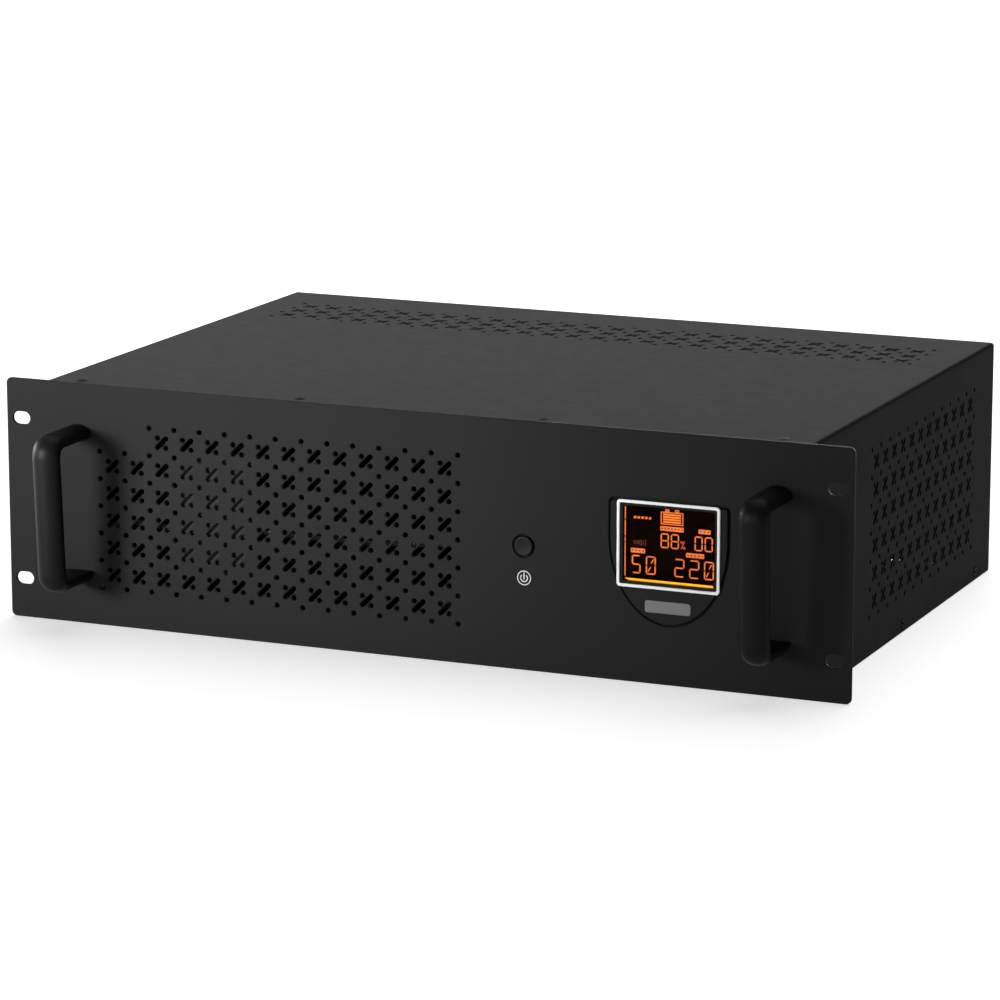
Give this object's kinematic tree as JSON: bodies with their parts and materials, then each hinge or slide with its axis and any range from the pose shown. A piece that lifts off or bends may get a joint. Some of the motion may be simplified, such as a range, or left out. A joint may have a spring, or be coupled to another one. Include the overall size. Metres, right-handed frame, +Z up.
{
  "type": "rack-mount uninterruptible power supply",
  "caption": "Rack-mount uninterruptible power supply: black 19-inch front panel with pull handles, vents, round power button and small display, over a vented sheet-steel case.",
  "frame": {"origin": "on the base plane, under the middle of the whole object's box, pull handles and rear sockets included", "axes": "+X to the right as seen from the front, +Y from the front panel to the rear, +Z up"},
  "size_m": [0.4826, 0.3594, 0.1325],
  "materials": {
    "powder_coat": "fine-textured satin black powder coat on steel sheet",
    "zinc_sheet": "zinc-plated steel sheet",
    "handle_plastic": "fine-grained satin black moulded plastic",
    "black_screw": "black oxide steel",
    "zinc_screw": "zinc-plated steel",
    "bezel_plastic": "satin black moulded plastic",
    "display_frame": "light silver-white trim",
    "display_lens": "dark tinted clear window",
    "display_screen": "dark brown screen with glowing orange segments",
    "circuit_board": "green solder mask",
    "spring_steel": "bright spring wire",
    "switch_plastic": "moulded black plastic",
    "battery_case": "dark grey moulded battery case",
    "bracket_paint": "matt black painted steel",
    "laminations": "varnished steel laminations",
    "winding": "enamelled copper under varnished tape",
    "heatsink": "plain extruded aluminium",
    "capacitor_sleeve": "dark blue heat-shrink sleeve",
    "relay_case": "blue moulded relay case",
    "fan_plastic": "black glass-filled plastic",
    "fan_guard": "bright plated wire",
    "breaker_button": "red moulded plastic",
    "port_shell": "nickel-plated shell",
    "lead_red": "red silicone insulation",
    "lead_black": "black insulation",
    "lead_grey": "grey insulation"
  },
  "bodies": {
    "case": {"battery_1": "battery_case", "battery_2": "battery_case", "battery_lead_negative": "lead_black", "battery_lead_positive": "lead_red", "battery_strap": "bracket_paint", "breaker_body": "switch_plastic", "capacitor_1": "capacitor_sleeve", "capacitor_2": "capacitor_sleeve", "capacitor_3": "capacitor_sleeve", "chassis_pan": "zinc_sheet", "choke": "winding", "cover_screw_left_1": "black_screw", "cover_screw_left_2": "black_screw", "cover_screw_left_3": "black_screw", "cover_screw_right_1": "black_screw", "cover_screw_right_2": "black_screw", "cover_screw_right_3": "black_screw", "cover_screw_top_1": "black_screw", "cover_screw_top_2": "black_screw", "cover_screw_top_3": "black_screw", "cover_screw_top_4": "black_screw", "display_bezel": "bezel_plastic", "display_board": "circuit_board", "display_frame": "display_frame", "display_lead": "lead_grey", "display_window": "display_lens", "fan_frame": "fan_plastic", "fan_guard": "fan_guard", "front_panel": "powder_coat", "handle_left": "handle_plastic", "handle_right": "handle_plastic", "handle_screw_left_high": "zinc_screw", "handle_screw_left_low": "zinc_screw", "handle_screw_right_high": "zinc_screw", "handle_screw_right_low": "zinc_screw", "heatsink_1": "heatsink", "heatsink_2": "heatsink", "lcd_module": "display_screen", "main_board": "circuit_board", "network_ports": "port_shell", "outlet_1": "switch_plastic", "outlet_2": "switch_plastic", "outlet_3": "switch_plastic", "outlet_4": "switch_plastic", "power_button_spring": "spring_steel", "power_inlet": "switch_plastic", "power_switch_body": "switch_plastic", "rear_panel": "powder_coat", "relay_1": "relay_case", "relay_2": "relay_case", "switch_bracket": "zinc_sheet", "switch_lead": "lead_grey", "top_cover": "powder_coat", "transformer_clamp": "zinc_sheet", "transformer_core": "laminations", "transformer_winding": "winding", "usb_port": "port_shell"},
    "power_button": {"power_button_cap": "bezel_plastic"},
    "fan_rotor": {"fan_rotor": "fan_plastic"},
    "breaker_button": {"breaker_button": "breaker_button"}
  },
  "joints": [
    {"name": "power_button_press", "type": "slide", "parent": "case", "child": "power_button", "axis": [0, 1, 0], "range_m": [0, 0.0018], "stiffness_N_per_m": 700, "springref_m": -0.001, "deforming": ["power_button_spring"]},
    {"name": "fan_spin", "type": "hinge", "parent": "case", "child": "fan_rotor", "pos_m": [-0.16, 0.1595, 0.066], "axis": [0, 1, 0], "continuous": true},
    {"name": "breaker_reset", "type": "slide", "parent": "case", "child": "breaker_button", "axis": [0, 1, 0], "range_m": [0, 0.003]}
  ]
}
